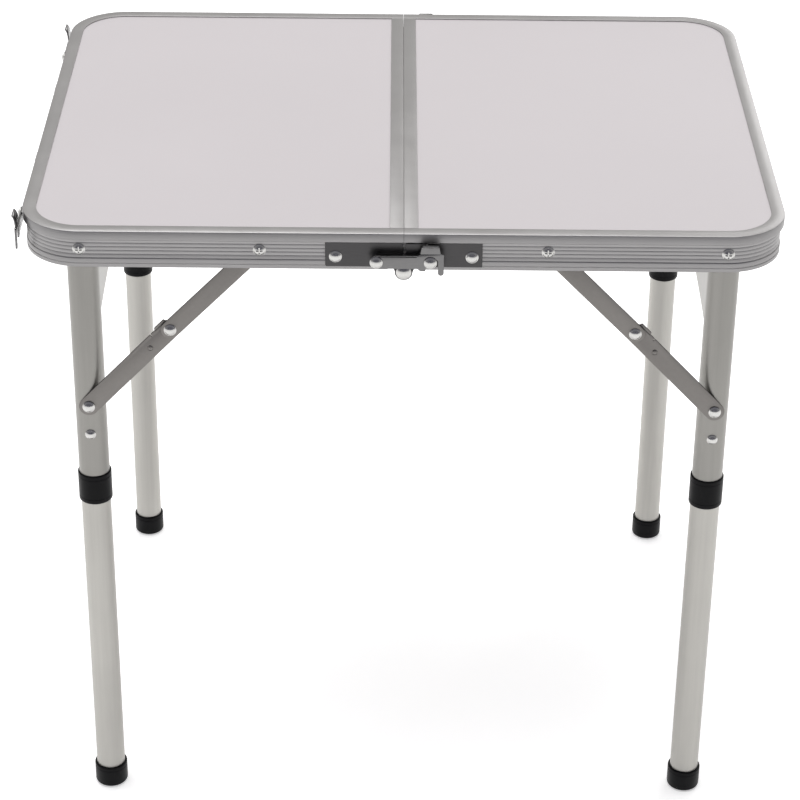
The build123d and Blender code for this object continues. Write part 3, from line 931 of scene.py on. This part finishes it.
# ---------------------------------------------------------------- hinge plates
class TABLE_OT_hinges(bpy.types.Operator):
    """Press the hinge plates at the seam"""
    bl_idname = "table.hinges"
    bl_label = "Hinge plates"

    def execute(self, context):
        axis = centre("hinge_rivets")
        high = corners("right_hinge_plates")[1]
        base = corners("right_frame")[0].z + 3.2 * MM
        far = high.x
        lug_radius = 7 * MM
        lug_root = 8.5 * MM
        corner = 1 * MM
        lug = arc((0, axis.z), lug_radius, 78, -180, 20)
        outline = [(-far + corner, high.z), (-1.5 * MM, high.z), *lug, (-lug_root, base),
                   (-far + corner, base), (-far, base + corner), (-far, high.z - corner)]
        plate = pressed("plate", outline, PLATE_THICKNESS)
        plate.location = (0, -PLATE_BACK, 0)
        settle(plate)
        soften(plate, 0.2 * MM)
        dress(with_rear(plate), "left_plates", "left_leaf", "steel_plate", "left_hinge_plates")

        near = 1.5 * MM
        strip = [(far, PLATE_BACK), (far, PLATE_FRONT), (18.6 * MM, PLATE_FRONT),
                 (17.2 * MM, LUG_FRONT), (near, LUG_FRONT), (near, LUG_BACK),
                 (16 * MM, LUG_BACK), (17.4 * MM, PLATE_BACK)]
        plate = draw_line("plate", [(x, -depth, base) for x, depth in strip])
        edit(plate)
        push((0, 0, high.z - base))
        close_edit()
        soften(plate, 0.2 * MM)
        outline = [*arc((0, axis.z), lug_radius, 60, 360, 22), (lug_root, base),
                   (lug_root, base + 2 * MM)]
        ear = pressed("ear", outline, PLATE_THICKNESS)
        ear.location = (0, -LUG_BACK, 0)
        settle(ear)
        soften(ear, 0.2 * MM)
        plate = join([plate, ear])
        dress(with_rear(plate), "right_plates", "right_leaf", "steel_plate",
              "right_hinge_plates")
        return {"FINISHED"}


# ---------------------------------------------------------------- latches
def latch(tip, tab_reach, fold):
    """A swing latch about the origin, along +X, its blade from y = 0 towards -Y.

    Its slot is near the tip, over the catch. The thumb tab leans out by its reach, and a
    fold stiffens the blade's upper edge where it is given a depth.
    """
    thick = LATCH_THICKNESS
    half = 5.5 * MM
    top = 7.5 * MM
    slot_in, slot_out, far = tip - 3.7 * MM, tip + 5.9 * MM, tip + 10.5 * MM
    shoulder = slot_in - 4 * MM
    outline = [*arc((0, 0), half, 90, 270, 14), (shoulder - 2.5 * MM, -half),
               (shoulder, -top), (slot_in, -top), (slot_in, 0.6 * MM),
               *arc((slot_in + 2.2 * MM, 0.6 * MM), 2.2 * MM, 180, 90, 4),
               *arc((slot_out - 2.2 * MM, 0.6 * MM), 2.2 * MM, 90, 0, 4),
               *arc(((slot_out + far) / 2, -9 * MM), 2.3 * MM, 180, 360, 10),
               *arc((far - 1.5 * MM, top - 1.5 * MM), 1.5 * MM, 0, 90, 4),
               (shoulder, top), (shoulder - 2.5 * MM, half)]
    blade = pressed("blade", outline, thick)
    soften(blade, 0.3 * MM)
    parts = [blade]

    width = 8 * MM
    tab = draw_line("tab", [(tip - width, -thick / 2, top - 1 * MM),
                            (tip + width, -thick / 2, top - 1 * MM)], closed=False)
    edit(tab)
    rise = 9.5 * MM
    out = 0.6 * tab_reach
    steps = 8
    taper = 0.965
    last = (0.0, -1 * MM)
    for step in range(1, steps + 1):
        angle = math.pi / 2 * step / steps
        point = (out * (1 - math.cos(angle)), rise * math.sin(angle) - 0.7 * MM)
        push((0, last[0] - point[0], point[1] - last[1]))
        bpy.ops.transform.resize(value=(taper, 1, 1), center_override=(tip, 0, 0))
        last = point
    close_edit()
    modify(tab, "SOLIDIFY", thickness=thick * 0.85, offset=0)
    soften(tab, 0.25 * MM)
    parts.append(tab)

    if fold:
        edge = box_piece("fold", (0, -thick, half - thick), (shoulder - 2.5 * MM, fold, half))
        soften(edge, 0.35 * MM)
        parts.append(edge)
    return join(parts)


class TABLE_OT_latches(bpy.types.Operator):
    """Press the two latches over the seam and the two on the left end"""
    bl_idname = "table.latches"
    bl_label = "Latches"

    def execute(self, context):
        pivot = centre("left_latch_posts")
        catch = centre("right_latch_posts")
        front = latch(catch.x - pivot.x, 9 * MM, 3.6 * MM)
        front.location = (pivot.x, -LATCH_BACK, pivot.z)
        settle(front)
        for end, y in ENDS.items():
            twin = copy_of(front, (1, -y, 1))
            dress(twin, f"{end}_seam_hook", f"{end}_seam_latch", "bright_steel", f"{end}_latch")
        discard(front)

        low, high = corners("end_latch_posts")
        y = high.y - 5 * MM
        hook = latch(32 * MM, 5 * MM, 0)
        hook.matrix_world = (Matrix.Translation((-END_LATCH_BACK, -y, (low.z + high.z) / 2))
                             @ Matrix.Rotation(-math.pi / 2, 4, "Z"))
        settle(hook)
        for end, y in ENDS.items():
            twin = copy_of(hook, (1, -y, 1))
            dress(twin, f"{end}_end_hook", f"{end}_end_swing_latch", "bright_steel",
                  f"{end}_end_latch")
        discard(hook)
        return {"FINISHED"}


# ---------------------------------------------------------------- handle
class TABLE_OT_handle(bpy.types.Operator):
    """Mould the carry handle and its brackets"""
    bl_idname = "table.handle"
    bl_label = "Carry handle"

    def execute(self, context):
        low, high = corners("carry_handle")
        half = 62 * MM
        arm = 9 * MM
        bar_top = low.z + 6.5 * MM
        outline = [(-half, high.z), (-half, low.z), (half, low.z), (half, high.z),
                   (half - arm, high.z), (half - arm, bar_top),
                   (arm - half, bar_top), (arm - half, high.z)]
        grip = pressed("grip", outline, 3 * MM, 1.4 * MM, 4)
        soften(grip, 0.9 * MM, 3)
        grip.matrix_world = (Matrix.Translation((-GRIP_BACK, 0, 0))
                             @ Matrix.Rotation(-math.pi / 2, 4, "Z"))
        settle(grip)
        pin = ring("pin", 1.3 * MM, 0.4 * MM, 54 * MM, 70 * MM, 0.2 * MM, 20)
        pin.matrix_world = (Matrix.Translation((-HANDLE_PIN, 0, high.z - 1.5 * MM))
                            @ Matrix.Rotation(math.pi / 2, 4, "X"))
        settle(pin)
        handle = join([grip, with_rear(pin)])
        dress(handle, "handle_grip", "handle", "black_plastic", "carry_handle")

        low, high = corners("handle_brackets")
        near = half + PLAY
        outline = rectangle((near, low.z), (near + 16 * MM, high.z))
        block = pressed("bracket", outline, 7 * MM, 1.5 * MM, 4)
        soften(block, 1.2 * MM, 4)
        block.matrix_world = (Matrix.Translation((-BRACKET_BACK, 0, 0))
                              @ Matrix.Rotation(-math.pi / 2, 4, "Z"))
        settle(block)
        screw_z = (low.z + high.z) / 2 - 3 * MM
        laid = rivet_on((-1, 0), -near - 10.5 * MM, BRACKET_SCREW_SEAT, screw_z,
                        [(1.5 * MM, -1 * MM, 0)], 3 * MM, 1.2 * MM, 28)
        dress(with_rear(join([block, laid])), "handle_mounts", "left_leaf", "bright_steel",
              "handle_brackets")
        return {"FINISHED"}


# ---------------------------------------------------------------- finishes and stage
class TABLE_OT_cad_finishes(bpy.types.Operator):
    """Give every carried-over part its finish"""
    bl_idname = "table.cad_finishes"
    bl_label = "Finish the frame's parts"

    def execute(self, context):
        slots = {row["node"]: row["material_slot"] for row in frame["record"]["subparts"]}
        for name, piece in frame["nodes"].items():
            piece.data.materials.clear()
            # The stretcher plates take the darker upper finish too, which holds painted shade of
            # the table top.
            special = name.endswith("stretcher_plate")
            finish = "upper_aluminium_painted_shade" if special else slots[name]
            piece.data.materials.append(finish_of(finish))
        return {"FINISHED"}


class TABLE_OT_stage(bpy.types.Operator):
    """Set the floor, the lights and the camera"""
    bl_idname = "table.stage"
    bl_label = "Stage"

    def execute(self, context):
        look = context.scene.table_look
        start_clean()
        bpy.ops.mesh.primitive_plane_add(size=14, location=(0, 0, -0.5 * MM))
        floor = context.object
        floor.name = "floor"
        paint = Recipe("floor_paint")
        paint.shader.inputs["Base Color"].default_value = (*look.floor_color, 1)
        paint.shader.inputs["Roughness"].default_value = 0.85
        paint.shader.inputs["Emission Color"].default_value = (1, 1, 1, 1)
        paint.shader.inputs["Emission Strength"].default_value = look.floor_glow
        floor.data.materials.append(paint.material)
        self.studio_world(context.scene, look)
        for name, place, size, power in (
                ("overhead", (-0.3, 0.2, 3.0), 2.4, look.overhead_power),
                ("softbox", (1.25, 2.3, 1.7), 1.1, look.softbox_power)):
            bpy.ops.object.light_add(type="AREA", location=place)
            lamp = context.object
            lamp.name = name
            lamp.data.size = size
            lamp.data.energy = power
            aim = Vector((0, 0, 0.5)) - Vector(place)
            lamp.rotation_euler = aim.to_track_quat("-Z", "Y").to_euler()
        context.scene.view_settings.view_transform = "Standard"
        shot = context.scene.table_camera
        bpy.ops.object.camera_add(location=shot.place)
        camera = context.object
        camera.name = "camera"
        camera.data.sensor_width = 36
        camera.data.lens = shot.lens
        turn = Matrix.Rotation(-shot.turn, 4, "Z")
        tilt = Matrix.Rotation(math.pi / 2 - shot.tilt, 4, "X")
        roll = Matrix.Rotation(shot.roll, 4, "Z")
        camera.matrix_world = Matrix.Translation(shot.place) @ turn @ tilt @ roll
        context.scene.camera = camera
        return {"FINISHED"}

    def studio_world(self, scene, look):
        """A studio that is dim on the camera's side and bright behind the table."""
        world = bpy.data.worlds.new("studio")
        scene.world = world
        world.use_nodes = True
        tree = world.node_tree
        place = tree.nodes.new("ShaderNodeTexCoord")
        split = tree.nodes.new("ShaderNodeSeparateXYZ")
        ramp = tree.nodes.new("ShaderNodeValToRGB")
        shift = tree.nodes.new("ShaderNodeMapRange")
        shift.inputs["From Min"].default_value = -0.8
        shift.inputs["From Max"].default_value = 0.7
        ramp.color_ramp.elements[0].color = (*look.front_light, 1)
        ramp.color_ramp.elements[1].color = (*look.rear_light, 1)
        tree.links.new(place.outputs["Generated"], split.inputs["Vector"])
        tree.links.new(split.outputs["Y"], shift.inputs["Value"])
        tree.links.new(shift.outputs["Result"], ramp.inputs["Fac"])
        tree.links.new(ramp.outputs["Color"], tree.nodes["Background"].inputs["Color"])


class TABLE_PT_sidebar(bpy.types.Panel):
    """Lists the steps that finish the table"""
    bl_idname = "TABLE_PT_sidebar"
    bl_label = "Folding table"
    bl_space_type = "VIEW_3D"
    bl_region_type = "UI"
    bl_category = "Table"

    def draw(self, context):
        for operator in OPERATORS:
            self.layout.operator(operator.bl_idname)
        for name in TableLook.__annotations__:
            self.layout.prop(context.scene.table_look, name)


OPERATORS = (TABLE_OT_cad_finishes, TABLE_OT_rims, TABLE_OT_legs, TABLE_OT_braces,
             TABLE_OT_hinges, TABLE_OT_fasteners, TABLE_OT_latches, TABLE_OT_handle,
             TABLE_OT_stage)
CLASSES = (TableLook, TableSizes, TableCamera, *OPERATORS, TABLE_PT_sidebar)


def register():
    for item in CLASSES:
        bpy.utils.register_class(item)
    bpy.types.Scene.table_look = PointerProperty(type=TableLook)
    bpy.types.Scene.table_sizes = PointerProperty(type=TableSizes)
    bpy.types.Scene.table_camera = PointerProperty(type=TableCamera)


def unregister():
    del bpy.types.Scene.table_camera
    del bpy.types.Scene.table_sizes
    del bpy.types.Scene.table_look
    for item in reversed(CLASSES):
        bpy.utils.unregister_class(item)


def main():
    register()
    for operator in OPERATORS:
        group, name = operator.bl_idname.split(".")
        getattr(getattr(bpy.ops, group), name)()


if __name__ == "__main__":
    main()
